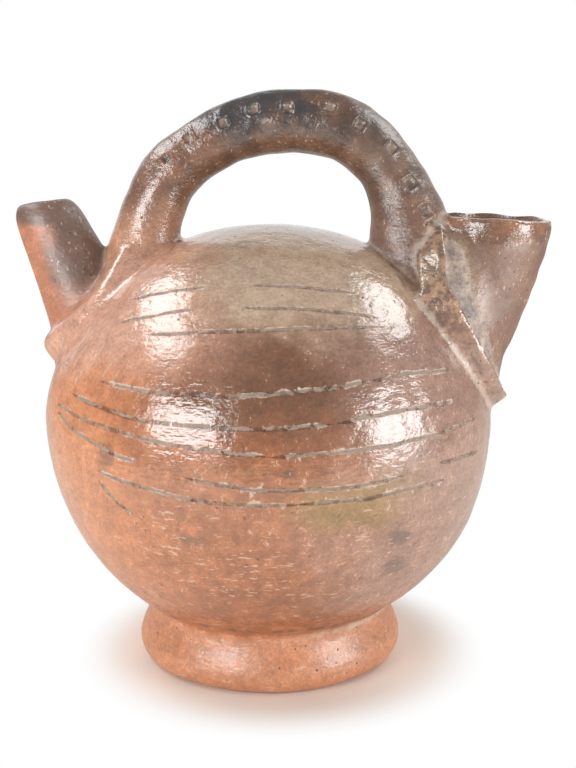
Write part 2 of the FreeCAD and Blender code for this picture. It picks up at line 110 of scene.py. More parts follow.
# The foot is a low flaring ring of the same clay, luted on while the ball was leather-hard.
# It is rounded at its lip, and the bottom of the ball shows inside it.

FOOT_RINGS = (
    (0, 0.0000, 0.0570, 0),
    (0, 0.0030, 0.0616, 0),
    (0, 0.0080, 0.0634, 0),
    (0, 0.0140, 0.0621, 0),
    (0, 0.0200, 0.0595, 0),
    (0, 0.0275, 0.0578, 0),
    (0, 0.0340, 0.0600, 0),
)
FOOT_RING_WIDTH = 0.012
FOOT_RECESS = 0.022


def along(keys, steps):
    """The rings between a few given ones, on one smooth line through all of them."""
    keys = np.array(keys, float)
    ends = np.vstack([2 * keys[0] - keys[1], keys, 2 * keys[-1] - keys[-2]])
    rings = []
    for before, start, end, after in zip(ends, ends[1:], ends[2:], ends[3:]):
        for share in np.linspace(0, 1, steps, endpoint=False):
            bend = (end - before) * share + (2 * before - 5 * start + 4 * end - after) * share ** 2
            rings.append(start + (bend + (3 * start - before - 3 * end + after) * share ** 3) / 2)
    return rings + [keys[-1]]


def stack_rings(name, rings):
    """A closed form drawn up ring by ring: how far across, how high, what radius, what lean."""
    across, height, radius, lean = rings[0]
    bpy.ops.object.select_all(action="DESELECT")
    bpy.ops.mesh.primitive_circle_add(
        vertices=RING_SIDES, radius=radius, fill_type="NGON",
        location=(across, 0, height), rotation=(0, math.radians(lean), 0),
    )
    form = bpy.context.object
    form.name = name
    bpy.ops.object.transform_apply()
    bpy.ops.object.mode_set(mode="EDIT")
    for ring in rings[1:]:
        rise = (ring[0] - across, 0, ring[1] - height)
        bpy.ops.mesh.extrude_region_move(TRANSFORM_OT_translate={"value": rise})
        growth = ring[2] / radius
        turn = math.radians(lean - ring[3])
        across, height, radius, lean = ring
        middle = (across, 0, height)
        bpy.ops.transform.resize(value=(growth, growth, growth), center_override=middle)
        bpy.ops.transform.rotate(value=turn, orient_axis="Y", center_override=middle)
    bpy.ops.mesh.select_all(action="SELECT")
    bpy.ops.mesh.normals_make_consistent(inside=False)
    bpy.ops.object.mode_set(mode="OBJECT")
    return form


foot = stack_rings("foot", along(FOOT_RINGS, steps=4))
choose(foot, places(foot)[:, 2] < TOUCH)
bpy.ops.mesh.select_mode(type="FACE")
bpy.ops.mesh.inset(thickness=FOOT_RING_WIDTH)
bpy.ops.mesh.extrude_region_move(TRANSFORM_OT_translate={"value": (0, 0, FOOT_RECESS)})
bpy.ops.object.mode_set(mode="OBJECT")

# The basket handle is one thick roll of clay, bent into an arch over the crown and pressed
# down at both ends, where it swells into the shoulders. Each key holds the angle round the
# arch from its top, and how far its outer and inner edge stand from the arch's middle.

ARCH_RADIUS = 0.065
ARCH_MIDDLE = Vector((0.0065, 0, 0.1904))
ARCH_REACH = 102
GRIP_THICKNESS = 0.0285
GRIP_SIDES, GRIP_STEPS = 48, 120
GRIP_EDGES = (
    (-102, 0.0900, 0.0420),
    (-80, 0.0815, 0.0490),
    (-65, 0.0800, 0.0510),
    (-50, 0.0804, 0.0522),
    (-30, 0.0780, 0.0508),
    (-8, 0.0790, 0.0508),
    (8, 0.0802, 0.0514),
    (20, 0.0820, 0.0524),
    (36, 0.0810, 0.0530),
    (50, 0.0792, 0.0507),
    (62, 0.0788, 0.0465),
    (75, 0.0805, 0.0420),
    (102, 0.0900, 0.0380),
)


def spun(name, sides, radius, start, turn, centre, axis, steps):
    """A closed roll of clay, swept from a small ring round an axis."""
    bpy.ops.object.select_all(action="DESELECT")
    bpy.ops.mesh.primitive_circle_add(
        vertices=sides, radius=radius, location=start.translation, rotation=start.to_euler()
    )
    roll = bpy.context.object
    roll.name = name
    bpy.ops.object.transform_apply()
    bpy.ops.object.mode_set(mode="EDIT")
    bpy.ops.mesh.select_all(action="SELECT")
    bpy.ops.mesh.spin(steps=steps, angle=turn, center=centre, axis=axis)
    bpy.ops.mesh.select_all(action="SELECT")
    bpy.ops.mesh.remove_doubles(threshold=TOUCH)
    bpy.ops.mesh.fill_holes(sides=sides)
    bpy.ops.mesh.select_all(action="SELECT")
    bpy.ops.mesh.normals_make_consistent(inside=False)
    bpy.ops.object.mode_set(mode="OBJECT")
    return roll


def eased(amount):
    """A share from 0 to 1 with a soft start and end."""
    amount = np.clip(amount, 0, 1)
    return amount * amount * (3 - 2 * amount)


def round_the_arch(angle):
    """The direction out of the arch's middle at an angle from its top, in degrees."""
    turn = math.radians(angle)
    return Vector((math.sin(turn), 0, math.cos(turn)))


def arch_angle(x, z):
    return np.degrees(np.arctan2(x - ARCH_MIDDLE.x, z - ARCH_MIDDLE.z))


edges = np.array(along(GRIP_EDGES, steps=8))


def grip_at(angle):
    """The distance to the middle of the handle's section and half its thickness, at an angle."""
    outer = np.interp(angle, edges[:, 0], edges[:, 1])
    inner = np.interp(angle, edges[:, 0], edges[:, 2])
    return (outer + inner) / 2, (outer - inner) / 2


out = round_the_arch(-ARCH_REACH)
first_ring = Matrix((out, (0, 1, 0), out.cross((0, 1, 0)))).transposed().to_4x4()
first_ring.translation = ARCH_MIDDLE + ARCH_RADIUS * out
handle = spun(
    "handle", GRIP_SIDES, GRIP_THICKNESS / 2, first_ring, math.radians(2 * ARCH_REACH),
    ARCH_MIDDLE, (0, -1, 0), GRIP_STEPS,
)
for corner in handle.data.vertices:
    angle = arch_angle(corner.co.x, corner.co.z)
    out = round_the_arch(angle)
    middle, half = grip_at(angle)
    off_middle = (corner.co - ARCH_MIDDLE - out * ARCH_RADIUS) * 2 * half / GRIP_THICKNESS
    corner.co = ARCH_MIDDLE + out * middle + off_middle

# The funnel is the filling mouth: a wide cone pinched up from the shoulder, with a thin level
# rim. A thick cordon is wrapped round its root, its edge drawn out to a sharp crest.

FUNNEL_RINGS = (
    (0.0750, 0.1520, 0.0410, 64.0),
    (0.0911, 0.1715, 0.0302, 45.6),
    (0.1008, 0.1956, 0.0268, 25.1),
    (0.1041, 0.2070, 0.0266, 8.7),
    (0.1045, 0.2118, 0.0263, 4.0),
)
FUNNEL_CORDON_TILT = 29
FUNNEL_CORDON_PROFILE = (
    (0.0840, 0.0448),
    (0.0940, 0.0446),
    (0.0990, 0.0444),
    (0.1025, 0.0441),
    (0.1043, 0.0434),
    (0.1046, 0.0424),
    (0.1035, 0.0405),
    (0.1020, 0.0385),
    (0.1016, 0.0320),
)
FUNNEL_FILLET_RINGS = (
    (0.0855, 0.1635, 0.0392, 61),
    (0.0890, 0.1662, 0.0384, 60),
    (0.0898, 0.1714, 0.0350, 56),
    (0.0914, 0.1768, 0.0321, 50),
    (0.0940, 0.1828, 0.0298, 41),
    (0.0970, 0.1895, 0.0276, 33),
)
CORDON_STRETCH = 1.24
CORDON_CURL, CORDON_CURL_START, CORDON_EDGE = 0.45, 0.023, 0.1035
CORDON_LEAN, CORDON_LEAN_RISE = 0.7 * CORDON_CURL, 0.03


def cordon_frame(side, tilt):
    """The directions up along a cordon's band and out along its axis, +1 to the funnel's side."""
    slope = math.radians(tilt)
    up = (-side * math.sin(slope), 0, math.cos(slope))
    return up, (side * math.cos(slope), 0, math.sin(slope))


def wrapped_cordon(name, side, tilt, profile):
    """A band of clay round a line that rises from the belly's middle."""
    lean = side * (90 - tilt)
    out = Vector(cordon_frame(side, tilt)[1])
    rings = [
        (out.x * distance, BELLY_HEIGHT + out.z * distance, radius, lean)
        for distance, radius in profile
    ]
    return stack_rings(name, along(rings, steps=3))


funnel = stack_rings("funnel", along(FUNNEL_RINGS, steps=8))
fillet = stack_rings("fillet", along(FUNNEL_FILLET_RINGS, steps=4))
funnel_cordon = wrapped_cordon("funnel_cordon", 1, FUNNEL_CORDON_TILT, FUNNEL_CORDON_PROFILE)
up, ahead = cordon_frame(1, FUNNEL_CORDON_TILT)
for form in (funnel_cordon, fillet):
    spots = places(form)
    rise = np.clip((spots - (0, 0, BELLY_HEIGHT)) @ up, 0, None) * CORDON_STRETCH
    reach = (spots - (0, 0, BELLY_HEIGHT)) @ ahead
    spots += np.outer(rise * (1 - 1 / CORDON_STRETCH), up)
    curl = CORDON_CURL * np.clip(rise - CORDON_CURL_START, 0, None)
    lean = CORDON_LEAN * eased(rise / CORDON_LEAN_RISE) * np.clip(CORDON_EDGE - reach, 0, None)
    spots[:, 0] += curl + lean
    move_to(form, spots)

# The drinking spout is a small finger of clay that leans outwards, round at its tip. The
# cordon round its root is broad and low, and dies away towards the front and the back.

SPOUT_RINGS = (
    (-0.0760, 0.1520, 0.0240, -27),
    (-0.0838, 0.1670, 0.0215, -27),
    (-0.0905, 0.1815, 0.0192, -27),
    (-0.0972, 0.1965, 0.0170, -24),
    (-0.1026, 0.2090, 0.0154, -20),
    (-0.1052, 0.2150, 0.0140, -14),
    (-0.1062, 0.2182, 0.0118, -9),
    (-0.1064, 0.2190, 0.0092, -7),
)
SPOUT_CORDON_TILT = 36
SPOUT_CORDON_PROFILE = (
    (0.0880, 0.0385),
    (0.0985, 0.0368),
    (0.1040, 0.0352),
    (0.1070, 0.0335),
    (0.1082, 0.0310),
    (0.1085, 0.0280),
    (0.1080, 0.0240),
)
SUNK_UPWARDS, UPWARDS_FROM, UPWARDS_OVER = 0.0045, -0.022, 0.03
SUNK_ASIDE, ASIDE_FROM, ASIDE_OVER = 0.003, 0.012, 0.02

spout = stack_rings("spout", along(SPOUT_RINGS, steps=8))
spout_cordon = wrapped_cordon("spout_cordon", -1, SPOUT_CORDON_TILT, SPOUT_CORDON_PROFILE)
up, ahead = cordon_frame(-1, SPOUT_CORDON_TILT)
spots = places(spout_cordon)
rise = (spots - (0, 0, BELLY_HEIGHT)) @ up
sunk = SUNK_UPWARDS * eased((rise - UPWARDS_FROM) / UPWARDS_OVER)
sunk = sunk + SUNK_ASIDE * eased((abs(spots[:, 1]) - ASIDE_FROM) / ASIDE_OVER)
move_to(spout_cordon, spots - np.outer(sunk, ahead))

# All these forms are luted into one skin of clay while it is soft. The joints are smoothed
# over with a wet finger, so that each meets the next in a small hollow curve.

CLAY_GRAIN = 0.0012
JOINT_REACH = 0.007
JOINT_STROKES, SPONGE_STROKES = 24, 2
WEIGHT_LEVELS = 20


def skin_of(form):
    """A form's skin as it is now, to look up the nearest place on it."""
    corners = [corner.co.copy() for corner in form.data.vertices]
    return BVHTree.FromPolygons(corners, [tuple(face.vertices) for face in form.data.polygons])


def press(form, kind, name, **settings):
    """Adds a modifier with its settings and applies it at once."""
    pick(form)
    modifier = form.modifiers.new(name, kind)
    for setting, value in settings.items():
        setattr(modifier, setting, value)
    bpy.ops.object.modifier_apply(modifier=modifier.name)


def lute(name, parts, grain):
    """Joins closed forms that run into one another into one closed skin."""
    pick(parts[0])
    for part in parts[1:]:
        part.select_set(True)
    bpy.ops.object.join()
    parts[0].name = name
    parts[0].data.name = name
    press(parts[0], "REMESH", "lute", mode="VOXEL", voxel_size=grain)
    return parts[0]


def weight_group(form, name, weights):
    """A vertex group that holds one weight for each corner."""
    group = form.vertex_groups.new(name=name)
    levels = np.round(weights * WEIGHT_LEVELS).astype(int)
    for level in range(1, WEIGHT_LEVELS + 1):
        chosen = np.nonzero(levels == level)[0].tolist()
        if chosen:
            group.add(chosen, level / WEIGHT_LEVELS, "REPLACE")


def clearances(spots, reach):
    """How far each spot stands off the skin of each form, below 0 inside it."""
    gaps = np.full((len(skins), len(spots)), reach)
    for row, skin in enumerate(skins):
        for column, spot in enumerate(spots):
            near, facing, _, gap = skin.find_nearest(spot, reach)
            if near is not None:
                gaps[row, column] = math.copysign(gap, (Vector(spot) - near).dot(facing))
    return gaps


def joint_nearness(gaps):
    """How near each spot is to a joint, 1 on it and 0 a finger's reach away."""
    return np.clip(1 - np.sort(np.abs(gaps), axis=0)[1] / JOINT_REACH, 0, 1)


forms = [belly, foot, handle, funnel, funnel_cordon, spout, spout_cordon, fillet]
form_names = [form.name for form in forms]
skins = [skin_of(form) for form in forms]
jug = lute("jug", forms, CLAY_GRAIN)
weight_group(jug, "joints", eased(joint_nearness(clearances(places(jug), JOINT_REACH))))
press(jug, "SMOOTH", "wet finger", factor=0.5, iterations=JOINT_STROKES, vertex_group="joints")
press(jug, "SMOOTH", "sponge", factor=0.5, iterations=SPONGE_STROKES)

# Built up by hand, the jug is not quite true. The belly swells to the left above its middle
# and to the right below it, the skin is a little lumpy, and the funnel's rim is wavy.

LUMP_SIZE, LUMP_DEPTH = 0.026, 0.00035
DENT_SIZE, DENT_DEPTH = 0.0085, 0.00018
RIM_WAVE_SIZE, RIM_WAVE = 0.013, 0.0011
LEFT_SWELL, RIGHT_SWELL, FOOT_SWELL = 0.0013, 0.0014, 0.0014


def uneven(spots, size, seed):
    """A smooth wander from -1 to 1 over the places, in waves of one size."""
    shift = Vector((seed, 2 * seed, 3 * seed))
    return np.array([noise.noise(Vector(spot) / size + shift) for spot in spots])


def bulge(heights, middle, spread):
    """1 at the middle height, fading over the spread above and below it."""
    return np.exp(-((heights - middle) / spread) ** 2)


def settle(form, spots):
    """Moves the corners, but keeps them within the depth and the height of the solid that the form
    replaces.
    """
    spots[:, 1] = np.clip(spots[:, 1], CAD_LOW.y, CAD_HIGH.y)
    spots[:, 2] = np.clip(spots[:, 2], 0, CAD_HIGH.z)
    move_to(form, spots)


spots, facing = places(jug), places(jug, "normal")
sideways, _, heights = spots.T
grip = eased((heights - 0.205) / 0.015) * eased((0.08 - abs(sideways - ARCH_MIDDLE.x)) / 0.01)
belt = eased((sideways - 0.045) / 0.01) * eased((0.215 - heights) / 0.01)
belt = belt * eased((heights - 0.125) / 0.01)
lumps = uneven(spots, LUMP_SIZE, 3) * LUMP_DEPTH * (1 + grip)
dents = uneven(spots, DENT_SIZE, 7) * DENT_DEPTH * (1 + 2 * grip + 2 * belt)
spots += facing * (lumps + dents)[:, None]
left = bulge(heights, 0.128, 0.028) * eased((-sideways - 0.035) / 0.06)
right = bulge(heights, 0.062, 0.02) * eased((sideways - 0.02) / 0.05)
low_left = eased((0.034 - heights) / 0.012) * eased((-sideways - 0.01) / 0.05)
rim = eased((heights - 0.196) / 0.014) * eased((sideways - 0.074) / 0.006)
spots[:, 2] += uneven(spots, RIM_WAVE_SIZE, 11) * RIM_WAVE * rim
spots[:, 0] += RIGHT_SWELL * right - LEFT_SWELL * left - FOOT_SWELL * low_left
settle(jug, spots)

# A row of small square marks was punched into each face of the handle with a blunt stick,
# which pushed up a low lip of clay round each pit.

PUNCH_ANGLES = (-47, -36, -22, -10, 2.5, 17, 29, 43, 57, 69)
PUNCH_FACING = 26
PUNCH_WIDTH, PUNCH_DEPTH, PUNCH_LIP = 0.0043, 0.0011, 0.0003
PUNCH_REACH = 0.0046
PUNCH_SWAY, PUNCH_GROWTH, PUNCH_CHANGE = 4, 0.16, 0.1


def off_mark(spots, middle, rows, growth):
    """How far each spot lies from a mark: square across it in half widths, and in all."""
    local = (spots - middle) @ rows.T / growth
    across = ((local[:, :2] / (PUNCH_WIDTH / 2)) ** 4).sum(axis=1) ** 0.25
    return across, np.linalg.norm(local, axis=1)


marks = []
for side in (-1, 1):
    for number, angle in enumerate(PUNCH_ANGLES):
        upwards, ahead = round_the_arch(angle), round_the_arch(angle + 90)
        middle, half = grip_at(angle)
        rise = math.radians(PUNCH_FACING + PUNCH_SWAY * math.sin(3.1 * number + side))
        out = upwards * math.sin(rise) + Vector((0, side * math.cos(rise), 0))
        rows = np.array([ahead, out.cross(ahead), out])
        growth = 1 + PUNCH_GROWTH * eased((angle + 10) / 50)
        growth = growth + PUNCH_CHANGE * math.sin(5.3 * number + 2 * side)
        marks.append((np.array(ARCH_MIDDLE + upwards * middle + out * half), rows, growth))

spots = places(jug)
near_marks = np.zeros(len(spots), bool)
for middle, _, growth in marks:
    near_marks |= np.linalg.norm(spots - middle, axis=1) < PUNCH_REACH * growth
choose(jug, near_marks)
bpy.ops.mesh.select_mode(type="FACE")
bpy.ops.mesh.subdivide(number_cuts=2)
bpy.ops.object.mode_set(mode="OBJECT")

spots = places(jug)
for middle, rows, growth in marks:
    across, off = off_mark(spots, middle, rows, growth)
    pressed = eased((1.25 - across) / 0.8) * PUNCH_DEPTH - bulge(across, 1.35, 0.22) * PUNCH_LIP
    spots -= rows[2] * ((off < 2 * PUNCH_REACH) * pressed * growth)[:, None]
move_to(jug, spots)

# The jug is hollow. The bowl of the funnel narrows to a throat pierced through the shoulder,
# and a straight bore runs from the tip of the spout into the belly.

SKIN_FACES = 132000
HOLLOW_GRAIN = 0.003
BOWL_RINGS = (
    (0.0640, 0.1440, 0.0150, 64),
    (0.0800, 0.1600, 0.0165, 61),
    (0.0890, 0.1740, 0.0190, 45),
    (0.0965, 0.1900, 0.0208, 25),
    (0.1025, 0.2060, 0.0228, 6),
    (0.1045, 0.2160, 0.0238, 0),
    (0.1050, 0.2300, 0.0260, 0),
)
BORE_RINGS = (
    (-0.0640, 0.1440, 0.0120, -29),
    (-0.0860, 0.1820, 0.0098, -29),
    (-0.1020, 0.2100, 0.0074, -20),
    (-0.1052, 0.2180, 0.0076, 0),
    (-0.1056, 0.2280, 0.0100, 0),
)

press(jug, "TRIANGULATE", "triangles")
press(jug, "DECIMATE", "fewer", ratio=SKIN_FACES / len(jug.data.polygons))
hollow = thrown_ball("hollow", BELLY_RADIUS - WALL, CROWN_RISE - WALL)
bowl = stack_rings("bowl", along(BOWL_RINGS, steps=6))
bore = stack_rings("bore", along(BORE_RINGS, steps=6))
hollow = lute("hollow", [hollow, bowl, bore], HOLLOW_GRAIN)
press(jug, "BOOLEAN", "hollow out", operation="DIFFERENCE", solver="MANIFOLD", object=hollow)
bpy.data.objects.remove(hollow)

# The lines were scratched into the leather-hard clay freehand, one stroke after another. Each
# stroke has three places: the angle from the front, towards the funnel, and the height. The
# back, which the photograph hides, has the same strokes.

STROKES = (
    ((-49, 0.1793), (-34, 0.1842), (-18, 0.1866)),
    ((-5, 0.1875), (15, 0.1867), (36, 0.1831)),
    ((-47, 0.1705), (-34, 0.1752), (-20, 0.1788)),
    ((-7, 0.1795), (16, 0.1786), (39, 0.1735)),
    ((-37, 0.1672), (0, 0.1716), (40, 0.1704)),
    ((-47, 0.1481), (-10, 0.1472), (31, 0.1520)),
    ((-57, 0.1405), (-8, 0.1348), (21, 0.1364)),
    ((27, 0.1512), (43, 0.1517), (58, 0.1493)),
    ((-65, 0.1334), (-22, 0.1275), (6, 0.1234)),
    ((16, 0.1357), (38, 0.1384), (55, 0.1375)),
    ((-61, 0.1304), (-44, 0.1231), (-27, 0.1173)),
    ((0, 0.1235), (32, 0.1255), (66, 0.1269)),
    ((-19, 0.1148), (8, 0.1098), (37, 0.1120)),
    ((45, 0.1136), (55, 0.1125), (66, 0.1107)),
    ((-44, 0.1122), (-14, 0.1051), (12, 0.1035)),
    ((7, 0.1035), (30, 0.1044), (50, 0.1056)),
    ((-41, 0.1073), (-37, 0.1011), (-31, 0.0943)),
)
STROKE_WIDTH, STROKE_DEPTH, STROKE_LIFT = 0.0019, 0.00055, 0.0004
STROKE_STEP, STROKE_FADE = 0.0018, 0.16
STROKE_WANDER, STROKE_SHAKE, STROKE_SKIP = 0.0006, 0.00013, 0.0001
WANDER_WAVES, SHAKE_WAVES, FORCE_WAVES = 8, 60, 7
STROKE_FORCE, FORCE_CHANGE = 0.9, 0.5
BOTTOM_PLACES = 5


def belly_spot(azimuth, height, side):
    """A place on the belly's skin, with the azimuth counted from the front or the back."""
    rise = (height - BELLY_HEIGHT) / (CROWN_RISE if height > BELLY_HEIGHT else BELLY_RADIUS)
    across = BELLY_RADIUS * math.sqrt(1 - rise ** 2)
    turn = math.radians(azimuth)
    return Vector((across * math.sin(turn), side * across * math.cos(turn), height))


def arc_through(start, middle, end):
    """The centre of the arc through three places, its two plane directions and its opening."""
    first, last = start - middle, end - middle
    axis = first.cross(last)
    lengths = last * first.length_squared - first * last.length_squared
    centre = middle + lengths.cross(axis) / (2 * axis.length_squared)
    out, home = (start - centre).normalized(), (end - centre).normalized()
    ahead = out.cross(home).normalized().cross(out)
    return centre, out, ahead, out.angle(home)


def wedge(stroke, number, side, skin):
    """A thin three-edged wedge along one stroke, pressed into the skin, and its lowest line."""
    start = belly_spot(*stroke[0], side)
    centre, out, ahead, turn = arc_through(start, *[belly_spot(*key, side) for key in stroke[1:]])
    radius = (start - centre).length
    axis = out.cross(ahead)
    tip = Matrix((axis, out, ahead)).transposed().to_4x4()
    tip.translation = start
    steps = round(radius * turn / STROKE_STEP)
    form = spun("stroke", 3, STROKE_WIDTH / 2, tip, turn, centre, -axis, steps)
    bottom = []
    for corner in form.data.vertices:
        place = corner.co - centre
        angle = math.atan2(place.dot(ahead), place.dot(out))
        edge = round(place.dot(axis) / (STROKE_WIDTH / 2))
        share = angle / turn
        seed = Vector((0, number + 0.5, side))
        sway = STROKE_WANDER * noise.noise(Vector((WANDER_WAVES * share, 0, 0)) + seed)
        sway += STROKE_SHAKE * noise.noise(Vector((SHAKE_WAVES * share, 0, 0)) + seed)
        line = centre + radius * (math.cos(angle) * out + math.sin(angle) * ahead) + axis * sway
        near = skin.find_nearest(line)[0]
        facing = Vector((near.x, near.y, near.z - BELLY_HEIGHT)).normalized()
        across = facing.cross(ahead * math.cos(angle) - out * math.sin(angle)).normalized()
        fade = eased(share / STROKE_FADE) * eased((1 - share) / STROKE_FADE)
        change = FORCE_CHANGE * noise.noise(Vector((FORCE_WAVES * share, 9, 0)) + seed)
        depth = STROKE_DEPTH * (STROKE_FORCE + change) * fade - STROKE_SKIP * (1 - fade)
        half = STROKE_WIDTH / 2 * (STROKE_LIFT + STROKE_DEPTH) / STROKE_DEPTH
        if edge:
            away = across if across.dot(axis) * edge > 0 else -across
            corner.co = near + facing * STROKE_LIFT + away * half
        else:
            corner.co = near - facing * depth
            bottom.append((share, near - facing * max(depth, 0), min(1, 1.6 * fade)))
    return form, [entry[1:] for entry in sorted(bottom, key=lambda entry: entry[0])]


skin = skin_of(jug)
stroke_bottoms = []
for first in (0, 1):
    wedges = []
    for number in range(first, len(STROKES), 2):
        for side in (-1, 1):
            form, bottom = wedge(STROKES[number], number, side, skin)
            wedges.append(form)
            for (here, force), (there, _) in zip(bottom, bottom[1:]):
                for step in range(BOTTOM_PLACES):
                    stroke_bottoms.append((here.lerp(there, step / BOTTOM_PLACES), force))
    pick(wedges[0])
    for form in wedges[1:]:
        form.select_set(True)
    bpy.ops.object.join()
    press(jug, "BOOLEAN", "scratch", operation="DIFFERENCE", solver="MANIFOLD", object=wedges[0])
    bpy.data.objects.remove(wedges[0])

# What the years left on the clay depends on its form: dust lies in the joints and the lines,
# and the crests are worn. Each corner of the jug keeps how much it has of these.

FORM_REACH, FORM_SKIN = 0.009, 0.004
INSIDE_FROM, INSIDE_OVER = 0.0013, 0.0009
CREST_STROKES, CREST_HEIGHT = 12, 0.0012
LINE_REACH = 1.15 * STROKE_WIDTH
SMOOTH_ANGLE = 38


def keep(form, name, amounts):
    """Stores one number for each corner of a form under a name."""
    store = form.data.attributes.new(name, "FLOAT", "POINT")
    store.data.foreach_set("value", np.array(amounts, dtype=np.float32))


settle(jug, places(jug))
spots = places(jug)
gaps = clearances(spots, FORM_REACH)
on_form = dict(zip(form_names, 1 - np.clip(np.abs(gaps) / FORM_SKIN, 0, 1)))
keep(jug, "joint", np.clip(1 - np.sort(np.abs(gaps[:-1]), axis=0)[1] / FORM_REACH, 0, 1))
keep(jug, "channel", np.clip(on_form["fillet"] - 1.2 * on_form["funnel"], 0, 1))
keep(jug, "inside", np.clip((-gaps.min(axis=0) - INSIDE_FROM) / INSIDE_OVER, 0, 1))
keep(jug, "on_handle", on_form["handle"])
keep(jug, "on_funnel", on_form["funnel"])
keep(jug, "on_cordon", np.maximum(on_form["funnel_cordon"], on_form["spout_cordon"]))
keep(jug, "on_spout", on_form["spout"])
bottoms = KDTree(len(stroke_bottoms))
for number, (spot, _) in enumerate(stroke_bottoms):
    bottoms.insert(spot, number)
bottoms.balance()
nearest = [bottoms.find(spot)[1:] for spot in spots]
off_line = np.array([gap for _, gap in nearest])
forces = np.array([stroke_bottoms[number][1] for number, _ in nearest])
keep(jug, "line", np.clip(1 - off_line / LINE_REACH, 0, 1) * forces)
bpy.ops.object.select_all(action="DESELECT")
soft = jug.copy()
soft.data = jug.data.copy()
bpy.context.collection.objects.link(soft)
press(soft, "SMOOTH", "soft", factor=0.5, iterations=CREST_STROKES)
stands_out = ((spots - places(soft)) * places(jug, "normal")).sum(axis=1)
bpy.data.objects.remove(soft)
keep(jug, "crest", np.clip(stands_out / CREST_HEIGHT, -1, 1))
punched = np.zeros(len(spots))
for middle, rows, growth in marks:
    across, off = off_mark(spots, middle, rows, growth)
    punched = np.maximum(punched, (off < PUNCH_REACH) * eased((1.15 - across) / 0.5))
keep(jug, "pit", punched)

pick(jug)
bpy.ops.transform.translate(value=(AXIS_X, 0, 0))
bpy.ops.object.transform_apply()
bpy.ops.object.shade_smooth_by_angle(angle=math.radians(SMOOTH_ANGLE))

# The clay is burnished with a smooth stone, stroke beside level stroke, over a thin red slip.
# The fire and the soot left it orange below, brown across the middle, grey and tan on the crown
# and purplish to the right. The left side is painted a lighter orange: painted light from the left.

ORANGE, RUST, BROWN = (0.54, 0.20, 0.085), (0.36, 0.125, 0.05), (0.20, 0.085, 0.04)
BRIGHT, TAN, ROSE = (0.70, 0.28, 0.125), (0.53, 0.375, 0.262), (0.66, 0.35, 0.24)
PLUM, OLIVE, SOOT = (0.42, 0.25, 0.19), (0.36, 0.21, 0.07), (0.035, 0.032, 0.036)
DUST, FAINT_DUST, RAW_CLAY_IN_SHADE = (0.76, 0.59, 0.47), (0.58, 0.44, 0.34), (0.20, 0.10, 0.065)
GRIP_DARK, GRIP_BROWN = (0.062, 0.024, 0.011), (0.165, 0.064, 0.029)
LEFT_LEG, RIGHT_LEG = (0.58, 0.305, 0.185), (0.20, 0.088, 0.050)
FUNNEL_BROWN, FUNNEL_RED = (0.26, 0.112, 0.060), (0.45, 0.195, 0.105)
FUNNEL_SHADE = (0.14, 0.060, 0.034)
CORDON_DARK, CORDON_TAN = (0.19, 0.11, 0.068), (0.46, 0.275, 0.175)
SPOUT_ORANGE, SPOUT_DARK = (0.54, 0.19, 0.085), (0.09, 0.055, 0.04)
DARK_GREY, PALE_GREY = (0.24, 0.185, 0.17), (0.40, 0.31, 0.27)
PIT_DARK, PIT_PALE = (0.10, 0.07, 0.055), (0.42, 0.31, 0.23)
SMUDGE, GROOVE_SHADE, PORE = (0.11, 0.075, 0.06), (0.09, 0.06, 0.045), (0.05, 0.034, 0.028)
WORN, NICK = (0.66, 0.36, 0.22), (0.78, 0.55, 0.40)
BURNISH_IOR = 2.1
SMUDGES = (
    (-0.028, 0.086, 0.005, 0.003),
    (0.059, 0.083, 0.006, 0.003),
    (0.057, 0.068, 0.006, 0.004),
    (0.012, 0.117, 0.007, 0.002),
    (-0.065, 0.118, 0.004, 0.006),
)


class Finish:
    """A procedural finish, built up node by node."""

    def __init__(self, name):
        self.material = bpy.data.materials.new(name)
        self.material.use_nodes = True
        self.tree = self.material.node_tree
        self.tree.nodes.clear()

    def node(self, kind, settings=None, inputs=None):
        """One node: its settings come first, then a value or a link for each socket."""
        node = self.tree.nodes.new(kind)
        for setting, value in (settings or {}).items():
            setattr(node, setting, value)
        for socket, value in (inputs or {}).items():
            self.feed(node.inputs[socket], value)
        return node

    def feed(self, socket, value):
        """Links a socket to another one, or sets it to a plain value."""
        value = getattr(value, "socket", value)
        if isinstance(value, bpy.types.NodeSocket):
            self.tree.links.new(value, socket)
        else:
            socket.default_value = value

    def amount(self, kind, settings=None, inputs=None, output=0):
        """One output of a new node, as a number to reckon with."""
        return Amount(self, self.node(kind, settings, inputs).outputs[output])

    def kept(self, name):
        """A number that each corner of the form keeps under a name."""
        return self.amount("ShaderNodeAttribute", {"attribute_name": name}, output="Fac")

    def mixed(self, share, first, second, blend="MIX"):
        """A colour between two, by a share from 0 to 1."""
        first, second = [(*c, 1) if isinstance(c, tuple) else c for c in (first, second)]
        settings = {"data_type": "RGBA", "blend_type": blend}
        return self.node("ShaderNodeMix", settings, {0: share, 6: first, 7: second}).outputs[2]


class Amount:
    """A number in a finish that takes part in ordinary sums."""

    def __init__(self, finish, socket):
        self.finish, self.socket = finish, socket

    def maths(self, operation, *numbers):
        inputs = dict(enumerate(numbers))
        return self.finish.amount("ShaderNodeMath", {"operation": operation}, inputs)

    def __add__(self, other):
        return self.maths("ADD", self, other)

    def __radd__(self, other):
        return self.maths("ADD", other, self)

    def __sub__(self, other):
        return self.maths("SUBTRACT", self, other)

    def __rsub__(self, other):
        return self.maths("SUBTRACT", other, self)

    def __mul__(self, other):
        return self.maths("MULTIPLY", self, other)

    def __rmul__(self, other):
        return self.maths("MULTIPLY", other, self)

    def __truediv__(self, other):
        return self.maths("DIVIDE", self, other)

    def __rtruediv__(self, other):
        return self.maths("DIVIDE", other, self)

    def __pow__(self, other):
        return self.maths("POWER", self, other)

    def most(self, other):
        return self.maths("MAXIMUM", self, other)

    def between(self, low, high):
        """0 below the low end and 1 past the high end, or the other way round."""
        inputs = {"Value": self, "From Min": low, "From Max": high}
        settings = {"interpolation_type": "SMOOTHSTEP"}
        return self.finish.amount("ShaderNodeMapRange", settings, inputs)


